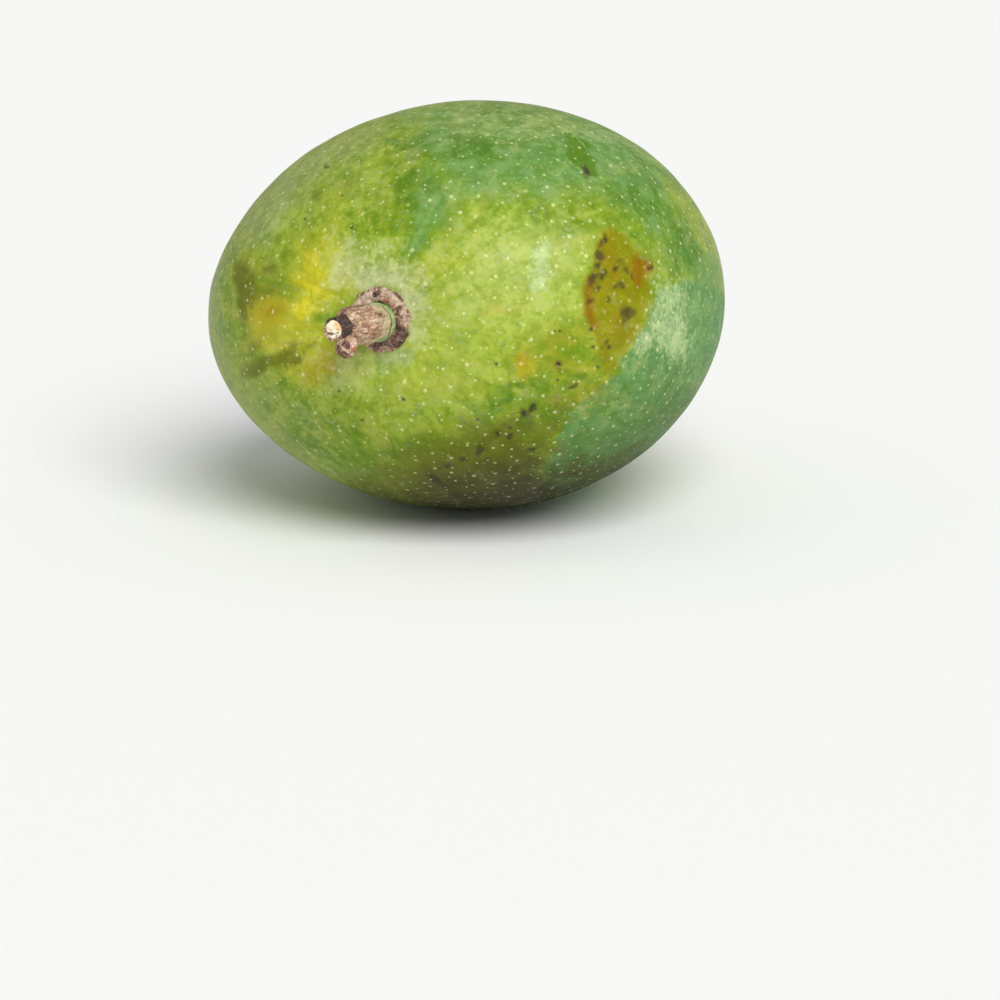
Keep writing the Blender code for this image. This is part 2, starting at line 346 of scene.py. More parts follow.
marks = {
    "ripe": [
        (1.10, 14, [(284, 296), (318, 290), (326, 316), (302, 330), (280, 320)]),
        (0.96, 36, [(280, 256), (292, 238), (321, 228), (346, 240), (362, 256), (366, 290), (346, 320),
            (300, 326), (278, 300)]),
        (0.76, 26, [(318, 184), (352, 178), (358, 250), (320, 240)]),
        (0.74, 16, [(514, 348), (524, 338), (540, 352), (546, 374), (540, 392), (524, 392), (512, 374)]),
        (0.86, 24, [(230, 290), (284, 288), (340, 338), (350, 370), (326, 392), (300, 392), (250, 352)]),
        (0.50, 40, [(478, 214), (560, 206), (600, 232), (588, 330), (560, 372), (500, 396), (440, 300)]),
        (0.62, 36, [(420, 330), (520, 390), (470, 420), (400, 420), (372, 390)]),
        (0.66, 30, [(430, 252), (470, 220), (480, 260), (440, 300), (410, 290)]),
        (0.62, 18, [(410, 420), (470, 412), (500, 424), (440, 446), (410, 440)]),
        (0.66, 10, [(336, 356), (376, 352), (382, 374), (360, 392), (326, 398)]),
    ],
    "pale": [
        (0.55, 20, [(322, 180), (358, 172), (366, 236), (334, 254), (318, 220)]),
        (0.90, 36, [(430, 262), (446, 234), (480, 210), (560, 204), (596, 236), (590, 310), (520, 346),
            (480, 404), (430, 424), (340, 396), (350, 366), (400, 350)]),
        (0.90, 22, [(330, 300), (348, 264), (384, 252), (424, 262), (436, 310), (420, 356), (392, 372),
            (350, 370)]),
        (1.00, 5, [(342, 360), (352, 366), (336, 382), (314, 396), (306, 398), (322, 380)]),
        (1.00, 10, [(338, 352), (376, 350), (384, 374), (362, 394), (330, 400), (318, 390)]),
        (0.60, 30, [(440, 200), (470, 184), (580, 190), (580, 214), (480, 226), (440, 240)]),
        (0.85, 20, [(326, 232), (384, 222), (408, 262), (352, 276), (330, 290), (318, 262)]),
        (0.60, 30, [(250, 220), (320, 160), (380, 150), (384, 210), (320, 232), (270, 262)]),
        (0.55, 30, [(250, 300), (340, 340), (352, 400), (300, 420), (236, 360)]),
    ],
    "veil": [
        (0.85, 30, [(420, 112), (520, 100), (630, 124), (690, 180), (620, 150), (520, 140), (440, 150)]),
        (0.70, 40, [(430, 250), (500, 215), (580, 215), (590, 300), (540, 340), (440, 330)]),
        (0.62, 30, [(330, 250), (400, 240), (440, 280), (440, 360), (380, 380), (340, 300)]),
        (0.40, 20, [(640, 280), (720, 280), (720, 380), (640, 400), (610, 390)]),
        (0.50, 30, [(230, 220), (300, 160), (300, 220), (260, 260)]),
        (1.00, 10, [(338, 352), (376, 350), (384, 374), (362, 394), (330, 400), (318, 390)]),
    ],
    "flecks": [
        (0.74, 24, [(430, 115), (560, 108), (610, 150), (590, 190), (500, 180), (440, 170)]),
        (0.66, 30, [(250, 400), (420, 430), (420, 500), (330, 480)]),
        (0.84, 20, [(590, 180), (690, 200), (704, 280), (670, 290), (640, 240)]),
        (0.56, 20, [(560, 380), (640, 370), (690, 380), (640, 460), (560, 450)]),
        (0.56, 30, [(520, 300), (590, 310), (590, 390), (530, 430), (490, 420)]),
        (0.50, 30, [(250, 180), (340, 130), (400, 120), (390, 200), (340, 220), (270, 220)]),
    ],
    "bluish": [
        (0.80, 34, [(400, 112), (500, 100), (620, 118), (690, 190), (640, 176), (560, 200), (470, 196),
            (420, 160)]),
        (1.00, 4, [(661, 286), (690, 280), (730, 290), (730, 400), (690, 450), (600, 500), (540, 500),
            (544, 464), (554, 445), (566, 428), (575, 408), (595, 387), (614, 372), (619, 360), (633, 350),
            (638, 331), (653, 312)]),
        (0.74, 22, [(410, 196), (432, 172), (456, 160), (450, 200), (442, 222), (434, 248), (422, 260),
            (410, 252)]),
        (0.50, 26, [(440, 150), (500, 156), (520, 176), (480, 200), (452, 226), (436, 200)]),
        (0.36, 26, [(430, 200), (474, 204), (462, 250), (430, 260)]),
        (0.84, 34, [(440, 120), (560, 112), (660, 170), (716, 270), (720, 300), (690, 290), (655, 240),
            (600, 192), (520, 180), (450, 170)]),
        (0.60, 14, [(278, 181), (291, 178), (293, 216), (280, 216)]),
        # a painted shadow under the collar
        (0.65, 10, [(371, 346), (412, 348), (410, 362), (392, 374), (374, 366)]),
        (0.50, 18, [(210, 300), (226, 300), (240, 380), (226, 380)]),
    ],
    "deep": [
        (0.80, 16, [(452, 104), (500, 98), (562, 106), (560, 124), (520, 130), (470, 126)]),
        (0.50, 26, [(524, 206), (580, 198), (640, 214), (636, 252), (570, 250), (520, 240)]),
        # this outline and the next three, along the bottom and the lower right, are partly painted shade
        (0.55, 26, [(386, 428), (450, 418), (524, 426), (524, 452), (440, 470), (376, 458)]),
        (0.55, 22, [(268, 406), (306, 424), (352, 450), (330, 484), (276, 446)]),
        (0.62, 30, [(486, 376), (556, 352), (600, 362), (606, 400), (566, 446), (500, 446), (460, 416)]),
        (0.45, 24, [(560, 424), (620, 384), (690, 350), (706, 400), (660, 456), (580, 470)]),
        (0.95, 16, [(440, 126), (474, 124), (508, 130), (506, 154), (476, 164), (444, 156)]),
        (0.40, 30, [(420, 112), (500, 102), (540, 110), (548, 150), (530, 172), (440, 170)]),
        (0.75, 24, [(390, 132), (436, 128), (438, 190), (412, 220), (390, 232)]),
        (0.85, 12, [(588, 196), (610, 184), (660, 186), (662, 218), (624, 212), (590, 210)]),
        (0.95, 14, [(662, 228), (686, 220), (702, 250), (694, 276), (668, 268)]),
        (0.45, 30, [(610, 130), (660, 160), (706, 230), (660, 236), (620, 176)]),
        # this outline, the next and the last one, along the bottom and the lower right, are partly painted
        # shade
        (0.60, 16, [(560, 384), (620, 372), (600, 420), (548, 450), (530, 440)]),
        (0.50, 30, [(600, 400), (700, 380), (680, 430), (620, 480), (560, 460)]),
        (0.70, 8, [(676, 304), (690, 306), (694, 322), (680, 322)]),
        (0.70, 10, [(620, 384), (640, 386), (636, 408), (616, 406)]),
        (0.40, 24, [(280, 400), (360, 410), (420, 440), (380, 480), (300, 440)]),
    ],
    "lead": [
        # a grey-green cast; the outlines along the left rim are partly a painted reflection, the pale grey
        # haze there, and the one under the collar is a painted shadow
        (0.95, 30, [(218, 230), (270, 160), (340, 128), (390, 116), (388, 140), (320, 180), (280, 230),
            (226, 268)]),
        (0.95, 12, [(369, 346), (420, 348), (418, 366), (396, 376), (372, 366)]),
        (0.80, 26, [(206, 300), (240, 380), (300, 440), (376, 486), (340, 510), (200, 420)]),
        (0.50, 30, [(230, 360), (300, 380), (340, 420), (330, 470), (260, 430)]),
    ],
    "ochre": [
        (0.80, 18, [(250, 292), (270, 290), (284, 302), (290, 322), (276, 330), (258, 328), (248, 312)]),
        (0.60, 22, [(240, 300), (256, 290), (290, 318), (284, 342), (256, 352), (240, 340)]),
        (0.80, 12, [(300, 366), (322, 354), (344, 350), (342, 364), (332, 376), (312, 386), (302, 382)]),
        (0.75, 5, [(487, 307), (512, 309), (511, 315), (491, 314)]),
        (0.90, 12, [(518, 352), (532, 350), (536, 370), (528, 382), (519, 378)]),
        (0.55, 24, [(600, 366), (628, 346), (604, 396), (566, 412), (560, 394)]),
        (0.50, 20, [(536, 330), (590, 330), (590, 360), (550, 372)]),
        (0.45, 14, [(288, 336), (308, 340), (300, 356), (286, 352)]),
    ],
    "stain": [
        (1.00, 8, [(597, 231), (614, 231), (632, 245), (648, 264), (651, 284), (646, 306), (638, 326),
            (622, 350), (606, 374), (597, 372), (597, 344), (592, 317), (584, 292), (584, 274),
            (596, 256)]),
        (0.70, 16, [(640, 296), (656, 300), (646, 324), (630, 342), (614, 360), (600, 372), (610, 340)]),
        (0.40, 24, [(560, 300), (596, 300), (596, 372), (556, 390), (530, 360)]),
    ],
    "olive": [
        # this outline and the next, along the bottom and the lower right, are partly painted shade; the rest
        # are olive patches
        (0.98, 36, [(536, 412), (564, 404), (568, 428), (546, 450), (556, 486), (600, 530), (430, 530),
            (330, 500), (360, 460), (430, 438), (500, 424)]),
        (0.74, 22, [(556, 458), (600, 450), (650, 442), (672, 440), (640, 520), (560, 530)]),
        (0.95, 9, [(230, 270), (238, 261), (256, 264), (262, 280), (258, 296), (246, 300), (246, 316),
            (234, 318), (229, 296)]),
        (0.75, 6, [(266, 268), (279, 266), (280, 273), (269, 275)]),
        (0.60, 8, [(244, 340), (262, 338), (266, 352), (246, 354)]),
        (0.80, 9, [(242, 362), (256, 355), (270, 357), (268, 371), (252, 378), (242, 373)]),
        (0.55, 8, [(298, 346), (318, 338), (318, 350), (298, 361)]),
        (0.55, 16, [(236, 262), (272, 266), (288, 298), (262, 302), (242, 332), (232, 300)]),
        (0.95, 8, [(264, 360), (280, 348), (298, 346), (300, 360), (282, 366), (266, 370)]),
        (0.70, 8, [(295, 174), (303, 176), (306, 192), (298, 192)]),
        (0.75, 8, [(316, 190), (328, 192), (326, 206), (316, 204)]),
        (0.50, 10, [(340, 186), (352, 186), (350, 196), (340, 198)]),
        (0.60, 12, [(614, 235), (632, 246), (634, 258), (618, 254)]),
    ],
    "bruise": [
        (1.10, 4, [(561, 134), (572, 132), (585, 149), (595, 160), (596, 174), (582, 171), (573, 156)]),
    ],
    "orange": [
        (1.00, 9, [(635, 258), (647, 263), (650, 280), (640, 292), (632, 282)]),
        (0.85, 7, [(584, 272), (591, 270), (595, 300), (600, 320), (598, 344), (589, 326), (582, 294)]),
        (0.55, 12, [(600, 242), (612, 238), (622, 268), (614, 300), (602, 290)]),
        (0.70, 10, [(520, 360), (529, 360), (529, 372), (521, 372)]),
        (0.60, 10, [(266, 306), (280, 306), (284, 319), (270, 318)]),
        (0.40, 14, [(604, 310), (630, 306), (624, 336), (606, 350)]),
    ],
    "dark": [
        # darker along the bottom and the lower right: partly a dark bruise, partly painted shade where the
        # fruit lay in shade
        (0.45, 30, [(540, 446), (600, 424), (680, 384), (716, 400), (670, 480), (560, 500)]),
        (1.15, 56, [(330, 520), (430, 482), (490, 466), (526, 462), (560, 466), (610, 456), (680, 434),
            (660, 560), (400, 570)]),
        (0.50, 14, [(440, 460), (476, 440), (516, 420), (536, 410), (532, 424), (490, 446), (450, 468)]),
    ],
    "halo": [
        (0.80, 14, [(326, 262), (350, 252), (366, 268), (352, 290), (330, 290)]),
        (0.55, 16, [(306, 356), (336, 344), (364, 354), (350, 376), (316, 380)]),
        (0.95, 10, [(350, 270), (366, 260), (392, 262), (414, 282), (422, 310), (418, 338), (408, 346),
            (402, 300), (384, 284), (356, 292)]),
        (0.60, 26, [(326, 240), (380, 230), (430, 270), (440, 340), (414, 362), (404, 300), (350, 280)]),
    ],
    "powderAndHighlight": [
        # whitish waxy bloom; the first four outlines are a painted highlight, the mottled whitish sheen
        # where the light falls on the cheek
        (1.10, 8, [(539, 238), (548, 240), (553, 262), (546, 284), (537, 276)]),
        (0.95, 7, [(527, 262), (534, 262), (536, 290), (529, 292)]),
        (0.80, 6, [(552, 246), (559, 248), (557, 264), (552, 264)]),
        (0.90, 9, [(496, 256), (513, 256), (514, 269), (499, 272)]),
        (0.40, 5, [(662, 288), (653, 312), (638, 331), (633, 350), (619, 360), (614, 372), (595, 387),
            (575, 408), (566, 428), (573, 430), (583, 412), (603, 392), (622, 377), (630, 364), (641, 354),
            (649, 336), (663, 314), (672, 292)]),
        (0.90, 18, [(662, 280), (678, 278), (688, 300), (700, 338), (690, 358), (642, 354), (636, 344),
            (654, 312)]),
        (0.40, 20, [(440, 100), (520, 100), (520, 112), (440, 112)]),
    ],
}


def insideOutline(pixels, corners, soft):
    # the signed distance to the outline, in pixels, as a smooth step from soft outside it to soft inside
    nearest = np.full(len(pixels), 1e9)
    inside = np.zeros(len(pixels), bool)
    for start, end in zip(corners, corners[1:] + corners[:1]):
        start, end = np.array(start, float), np.array(end, float)
        along = end - start
        t = np.clip((pixels - start) @ along / (along @ along), 0, 1)
        nearest = np.minimum(nearest, np.linalg.norm(pixels - start - t[:, None] * along, axis=1))
        if start[1] != end[1]:
            spans = (start[1] > pixels[:, 1]) != (end[1] > pixels[:, 1])
            crossing = start[0] + (pixels[:, 1] - start[1]) * along[0] / along[1]
            inside ^= spans & (pixels[:, 0] < crossing)
    return smoothStep(np.where(inside, nearest, -nearest), -soft, soft)


def greatest(pixels, outlines, ground=0.0):
    # at each pixel the greatest level of the outlines, and at least the ground's
    seen = np.full(len(pixels), ground)
    for level, soft, corners in outlines:
        seen = np.maximum(seen, level * insideOutline(pixels, corners, soft))
    return seen


def wandered(pixels, points, steps, seeds):
    # the pixels moved across and down by slow random fields, each with how far it moves them and its reach
    moved = pixels.copy()
    for index, (far, reach) in enumerate(steps):
        for side, seed in enumerate(seeds):
            moved[:, side] += far * wander(points, reach, seed + index)
    return moved


# What the skin carries outside the outlines, and on its hidden sides: a middle level and how far it wanders
groundLevels = {"ripe": 0.46, "deep": 0.10, "bluish": 0.10, "lead": 0.30, "veil": 0.25, "flecks": 0.32}
hiddenSides = {
    "ripe": (0.42, 0.30), "pale": (0.20, 0.40), "deep": (0.20, 0.35), "bluish": (0.45, 0.45),
    "lead": (0.20, 0.40), "powderAndHighlight": (0.05, 0.30), "stain": (-0.10, 0.55), "orange": (-0.15, 0.45),
    "olive": (-0.05, 0.45), "dark": (-0.20, 0.40), "veil": (0.35, 0.30), "flecks": (0.45, 0.25),
    "ochre": (-0.05, 0.45), "bruise": (-0.30, 0.40), "halo": (0.0, 0.0),
}
hiddenReach = 0.35  # of those fields, in radians round the fruit's middle
edgeWander = [(5, 0.0022), (4, 0.0009), (2, 0.0004)]  # how far outlines wander (pixels), and the reach (m)


def markSkin(piece, points, directions, pixels, faced):
    # each mark is the greatest of its outlines where the camera sees the skin, and a slow random field where
    # it doesn't; a blot is exp(-(distance / radius)^2)
    moved = wandered(pixels, points, edgeWander, (30, 40))
    for index, (name, outlines) in enumerate(marks.items()):
        seen = greatest(moved, outlines, groundLevels.get(name, 0.0))
        middle, spread = hiddenSides[name]
        hidden = np.clip(middle + spread * wander(directions, hiddenReach, 60 + index, 24), 0, 1)
        paint(piece, name, seen * faced + hidden * (1 - faced))
    blot = np.zeros(len(points))
    for across, down, radius in blots:
        apart = np.hypot(moved[:, 0] - across, moved[:, 1] - down)
        blot = np.maximum(blot, np.exp(-((apart / radius) ** 2)))
    paint(piece, "blot", blot * faced)
    x, y, z = directions.T
    out = np.maximum(np.hypot(x, z), 1e-6)
    paint(piece, "lengthwise", np.stack([x / out, z / out, 0.25 * np.arccos(-y)], axis=-1))
    paint(piece, "fromStem", np.arccos(np.clip(-y, -1, 1)))


# Pale dots all over the skin, in two sets that mix, dark specks, and thin lines

dots = {
    "big": {"count": 2000, "jitter": 0.15, "smallest": 0.00030, "largest": 0.00052, "seed": 3},
    "small": {"count": 2200, "jitter": 0.15, "smallest": 0.00018, "largest": 0.00034, "seed": 5},
}
blots = [  # soft dark ones: pixels across and down, and radius in pixels
    (602, 240, 5), (603, 247, 5), (599, 257, 6), (596, 265, 4), (591, 276, 7), (602, 277, 6), (597, 287, 5),
    (590, 297, 4), (621, 267, 4), (615, 275, 4), (625, 277, 5), (632, 281, 4), (621, 289, 4), (649, 269, 4),
    (611, 304, 5), (625, 314, 6), (558, 363, 5), (609, 347, 4), (560, 331, 3), (526, 413, 6), (535, 409, 4),
    (500, 436, 5), (476, 449, 5), (461, 460, 4), (537, 449, 5), (524, 479, 5), (469, 476, 4), (435, 483, 5),
    (587, 171, 6), (328, 167, 4), (569, 386, 4), (446, 470, 4), (490, 462, 4), (512, 440, 4), (590, 362, 4),
]
specks = [  # crisp dark ones: pixels across and down, and radius in pixels
    (496, 364, 3.2), (558, 364, 4.2), (560, 331, 2.8), (591, 329, 4.0), (593, 347, 3.6), (609, 347, 4.2),
    (328, 167, 3.6), (342, 196, 3.0), (305, 219, 3.2), (352, 227, 3.0), (403, 399, 4.0), (362, 420, 3.4),
    (339, 391, 2.8), (714, 320, 2.6), (714, 308, 2.0), (478, 419, 2.6), (510, 428, 3.2), (440, 468, 3.0),
    (558, 380, 2.6), (649, 269, 3.0), (526, 413, 4.2), (535, 409, 3.2), (587, 172, 3.6), (372, 292, 2.4),
]
hiddenSpecks = {"count": 26, "smallest": 0.0003, "largest": 0.0008, "seed": 11}
lines = {  # half the width in pixels, and corners in pixels
    "paleLine": [
        (0.8, [(564, 136), (562, 132), (568, 130), (573, 133), (577, 138), (583, 144), (586, 149)]),
    ],
    "darkLine": [
        (0.7, [(390, 437), (393, 446), (395, 459)]), (0.8, [(232, 240), (233, 250), (236, 262)]),
        (0.8, [(715, 296), (715, 312), (713, 330)]),
    ],
}
lineDots = 120  # how many centres stand for a line
farOff = 0.0008  # m beyond a spot's size, where nothing of it is painted


def spiral(count, jitter, dice):
    # directions along a spiral of equal turns (0.618 of a circle), each moved at random by a share of the
    # spacing, sqrt(4 pi / count)
    y = (2 * np.arange(count) + 1) / count - 1
    turn = 2 * pi * 0.618034 * np.arange(count)
    out = np.sqrt(1 - y * y)
    spread = jitter * np.sqrt(4 * pi / count)
    moves = dice.uniform(-spread, spread, (count, 3))
    return unit(np.stack([out * np.cos(turn), y, out * np.sin(turn)], axis=-1) + moves)


def paintNearest(piece, points, name, centres, sizes):
    # each point's nearest centre, the one of least |b|^2 - 2 a.b, and that one's size, or 0 if it is far off
    squares = (centres**2).sum(axis=1)
    blocks = np.array_split(points, 40)  # to spare memory
    nearest = np.concatenate([(squares - 2 * block @ centres.T).argmin(axis=1) for block in blocks])
    apart = np.linalg.norm(points - centres[nearest], axis=1)
    paint(piece, name + "Place", centres[nearest])
    paint(piece, name + "Size", np.where(apart < farOff + sizes[nearest], sizes[nearest], 0))


def skinAt(places, points, normals, pixels, faced):
    # where the camera's ray through a pixel meets the plane of the skin's nearest point: p = eye + ray t
    apart = np.linalg.norm(pixels[None] - places[:, None], axis=-1) + 1e6 * (faced < 0.5)
    nearest = apart.argmin(axis=1)
    eye = np.array(camera.location)
    right, up = places[:, 0] - photoSize / 2, photoSize / 2 - places[:, 1]
    rays = np.stack([right, up, np.full(len(places), -focal)], axis=-1)
    rays = rays @ np.array(camera.matrix_world.to_3x3()).T
    t = ((points[nearest] - eye) * normals[nearest]).sum(axis=1) / (rays * normals[nearest]).sum(axis=1)
    return eye + rays * t[:, None]


def spotSkin(piece, points, normals, pixels, faced):
    # the dots on a spiral round the form, the specks and lines where the picture shows them
    for name, kind in dots.items():
        dice = np.random.default_rng(kind["seed"])
        centres = fruitForm(spiral(kind["count"], kind["jitter"], dice)) @ lying.T + fruitMiddle
        sizes = dice.uniform(kind["smallest"], kind["largest"], kind["count"])
        paintNearest(piece, points, name, centres, sizes)
    perPixel = 1 / view["pixelsPerMetre"]
    listed = np.array(specks, float)
    shown = skinAt(listed[:, :2], points, normals, pixels, faced)
    dice = np.random.default_rng(hiddenSpecks["seed"])
    unseen = dice.choice(np.flatnonzero(faced < 0.01), hiddenSpecks["count"])
    more = dice.uniform(hiddenSpecks["smallest"], hiddenSpecks["largest"], hiddenSpecks["count"])
    paintNearest(piece, points, "speck", np.concatenate([shown, points[unseen]]),
                 np.concatenate([listed[:, 2] * perPixel, more]))
    for name, paths in lines.items():
        centres, sizes = [], []
        for half, corners in paths:
            corners = np.array(corners, float)
            share = np.linspace(0, len(corners) - 1, lineDots)
            path = np.stack([np.interp(share, range(len(corners)), side) for side in corners.T], axis=-1)
            centres.append(skinAt(path, points, normals, pixels, faced))
            sizes.append(np.full(len(path), half * perPixel))
        paintNearest(piece, points, name, np.concatenate(centres), np.concatenate(sizes))


skinPixels = pixelsOf(skinPoints, camera)
skinNormals = np.empty(len(skinPoints) * 3, np.float32)
skin.data.vertex_normals.foreach_get("vector", skinNormals)
skinNormals = skinNormals.reshape(-1, 3)
toCamera = unit(np.array(camera.location) - skinPoints)
skinFaced = smoothStep((skinNormals * toCamera).sum(axis=1), -0.22, 0.10)  # 1 where the camera sees it
markSkin(skin, skinPoints, skinDirections, skinPixels, skinFaced)
spotSkin(skin, skinPoints, skinNormals, skinPixels, skinFaced)

skinLook = {
    "greens": [(0.10, (64, 108, 16)), (0.30, (102, 140, 26)), (0.50, (140, 160, 38)), (0.72, (168, 174, 36)),
               (1.00, (214, 204, 40))],
    "blot": (58, 42, 36), "dot": (222, 228, 164), "speck": (56, 40, 44), "paleLine": (176, 196, 120),
    "darkLine": (84, 74, 34),
    "covers": {"blot": 0.80, "paleLine": 0.70, "darkLine": 0.70, "speck": 0.85},
    "dotCover": (0.36, 0.66), "dotOnStain": 0.45,  # it varies between the two, and is less on the stain
    "dapple": (0.91, 1.09),
    "speckShaken": (0.001, 0.0005),  # how their edges are moved: the lumps' size and how far, in metres
    "lumps": {  # size in metres, detail, roughness and distortion
        "slow": (0.020, 3, 0.6, 0.6), "middle": (0.0065, 2, 0.5, 0.8), "fleck": (0.0036, 3, 0.6, 0.6),
        "small": (0.0024, 3, 0.55, 0.6), "fine": (0.0007, 2, 0.5, 0.0),
    },
    "streaks": (0.11, 4, 0.6, 0.3), "streaksEnd": (2.0, 2.8),  # radians from the stem where they fade
    "greenShares": {"slow": 0.14, "streaks": 0.26, "middle": 0.07, "small": 0.08, "fine": 0.05},
    "roughness": 0.36, "waxRoughness": 0.55, "refraction": 1.20, "relief": 0.00012,
}
skinLayers = [
    # the mark, its colour, how much it covers, the lumps that its edge follows, how far, and where its
    # smooth step starts and ends
    ("pale", (164, 182, 66), 0.65, "streaks", 0.9, 0.10, 1.05),
    ("bluish", (92, 144, 86), 0.84, "edges", 0.8, 0.12, 0.95),
    ("deep", (72, 118, 20), 0.78, "flecks", 1.1, 0.20, 0.95),
    ("flecks", (92, 132, 16), 0.52, "flecks", 1.3, 0.40, 1.15),
    ("lead", (162, 172, 112), 0.62, "edges", 0.8, 0.15, 1.00),
    ("ochre", (168, 148, 20), 0.78, "streaks", 0.9, 0.05, 1.10),
    ("stain", (134, 130, 0), 0.88, "edges", 0.9, 0.10, 0.90),
    ("olive", (98, 104, 4), 0.80, "edges", 1.0, 0.20, 0.85),
    ("orange", (136, 84, 0), 0.75, "edges", 1.0, 0.20, 0.95),
    # darkest along the bottom: a dark bruise and painted shade
    ("dark", (36, 34, 0), 0.90, "edges", 0.6, 0.05, 1.10),
    ("halo", (192, 198, 152), 0.66, "edges", 1.0, 0.15, 1.10),
    ("veil", (190, 200, 134), 0.34, "streaks", 1.1, 0.25, 1.20),
    ("bruise", (82, 122, 10), 0.85, "edges", 0.6, 0.20, 0.75),
    # whitish waxy bloom, with a painted highlight on the lit cheek
    ("powderAndHighlight", (188, 207, 150), 0.64, "flecks", 1.3, 0.20, 1.15),
]


def spotted(tree, place, name, inner=0.2):
    # 1 within the inner share of a spot's size from its centre, and 0 beyond its size
    centre, size = paintedPlace(tree, name + "Place"), painted(tree, name + "Size")
    apart = addNode(tree, "ShaderNodeVectorMath", {0: place, 1: centre}, operation="DISTANCE")
    return stepped(tree, apart.outputs["Value"], times(tree, size, inner), size, 1.0, 0.0)


def shaken(tree, place, size, far):
    # the place, moved each way by far (noise - 1/2), with noise of about the size given
    moves = addNode(tree, "ShaderNodeTexNoise", {"Vector": place, "Scale": 1 / size}).outputs["Color"]
    moved = {0: moves, 1: (far,) * 3, 2: place}
    moved = addNode(tree, "ShaderNodeVectorMath", moved, operation="MULTIPLY_ADD").outputs[0]
    moved = {0: moved, 1: (far / 2,) * 3}
    return addNode(tree, "ShaderNodeVectorMath", moved, operation="SUBTRACT").outputs[0]


def skinMaterial():
    made, tree, shader = newMaterial("mango_skin")
    place = objectPlace(tree)
    lumps = {name: noise(tree, place, *kind) for name, kind in skinLook["lumps"].items()}
    small, fine = lumps["small"], lumps["fine"]
    streaks = noise(tree, paintedPlace(tree, "lengthwise"), *skinLook["streaks"])
    faded = stepped(tree, painted(tree, "fromStem"), *skinLook["streaksEnd"])
    lumps["streaks"] = mixedValue(tree, faded, streaks, 0.5)
    ground = painted(tree, "ripe")
    for name, share in skinLook["greenShares"].items():
        ground = swayed(tree, ground, lumps[name], share)
    tone = ramp(tree, ground, [(at, colour(*shade)) for at, shade in skinLook["greens"]])
    followed = {
        "edges": mixedValue(tree, 0.35, mixedValue(tree, 0.5, lumps["middle"], small), fine),
        "streaks": mixedValue(tree, 0.5, lumps["streaks"], mixedValue(tree, 0.4, small, fine)),
        "flecks": mixedValue(tree, 0.3, lumps["fleck"], fine),
    }
    wax = 0.0
    for name, shade, cover, edge, rough, low, high in skinLayers:
        mask = ragged(tree, painted(tree, name), followed[edge], rough, low, high)
        tone = mixed(tree, times(tree, mask, cover), tone, colour(*shade))
        if name in ("bluish", "lead", "powderAndHighlight"):
            wax = maths(tree, "MAXIMUM", mask, wax)
    masks = {"blot": ragged(tree, painted(tree, "blot"), fine, 0.35, 0.15, 1.00)}
    masks["paleLine"], masks["darkLine"] = spotted(tree, place, "paleLine"), spotted(tree, place, "darkLine")
    masks["speck"] = spotted(tree, shaken(tree, place, *skinLook["speckShaken"]), "speck", 0.0)
    covers = {name: times(tree, masks[name], cover) for name, cover in skinLook["covers"].items()}
    tone = mixed(tree, covers["blot"], tone, colour(*skinLook["blot"]))
    dapple = stepped(tree, swayed(tree, small, fine, 0.4), 0.2, 0.8, *skinLook["dapple"])
    tone = addNode(tree, "ShaderNodeHueSaturation", {"Color": tone, "Value": dapple}).outputs["Color"]
    for name in ("paleLine", "darkLine"):
        tone = mixed(tree, covers[name], tone, colour(*skinLook[name]))
    dot = maths(tree, "MAXIMUM", spotted(tree, place, "big"), spotted(tree, place, "small"))
    dot = times(tree, dot, stepped(tree, lumps["middle"], 0.2, 0.7, *skinLook["dotCover"]))
    onStain = stepped(tree, painted(tree, "stain"), 0.3, 0.9, 1.0, skinLook["dotOnStain"])
    dot = times(tree, dot, onStain)
    tone = mixed(tree, dot, tone, colour(*skinLook["dot"]))
    tone = mixed(tree, covers["speck"], tone, colour(*skinLook["speck"]))
    waxed = stepped(tree, wax, 0.0, 1.0, skinLook["roughness"], skinLook["waxRoughness"])
    tree.links.new(waxed, shader.inputs["Roughness"])
    shader.inputs["IOR"].default_value = skinLook["refraction"]
    dress(tree, shader, tone, maths(tree, "ADD", times(tree, dot, 0.4), small), skinLook["relief"])
    return made


skin.data.materials.append(skinMaterial())
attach(skin, "root")
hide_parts("fruit")


# The stem's stub: a corky collar, a green pad in it, the shaft in its bark, its cut end, and a twig's stub

stem = {
    "heading": (-0.485, -0.877, -0.015), "length": 0.0111, "tipLength": 0.0022, "toSide": 0.0010,
    "bendStart": 0.0015, "bendLength": 0.0040,
    "cutSlant": -0.35, "slantLength": 0.0030,
    "inCollar": (0.0003, 0.0),  # how far the shaft stands from the seat's middle, to its side and through
    "collarInSeat": (0.0000, -0.0004),  # and the collar
    "twigHeading": (-0.10, -0.62, -0.78), "twigStation": 0.0068,
    "paleFootEnds": (0.0032, 0.0046), "rimAt": 0.0019, "rimWidth": 0.00025,  # heights on the shaft
    "grainLength": 0.012,
    "edgeWander": [(1.5, 0.0005), (0.8, 0.0002)],  # as the skin's
}
stemUp = lying @ np.array([0.0, -1.0, 0.0])
stemHeading = unit(np.array(stem["heading"]))
stemSide = unit(stemHeading - stemUp * (stemHeading @ stemUp))
stemThrough = np.cross(stemUp, stemSide)
stemLean = np.arccos(stemHeading @ stemUp)
stemSeat = skinPoints[0] + stem["toSide"] * stemSide


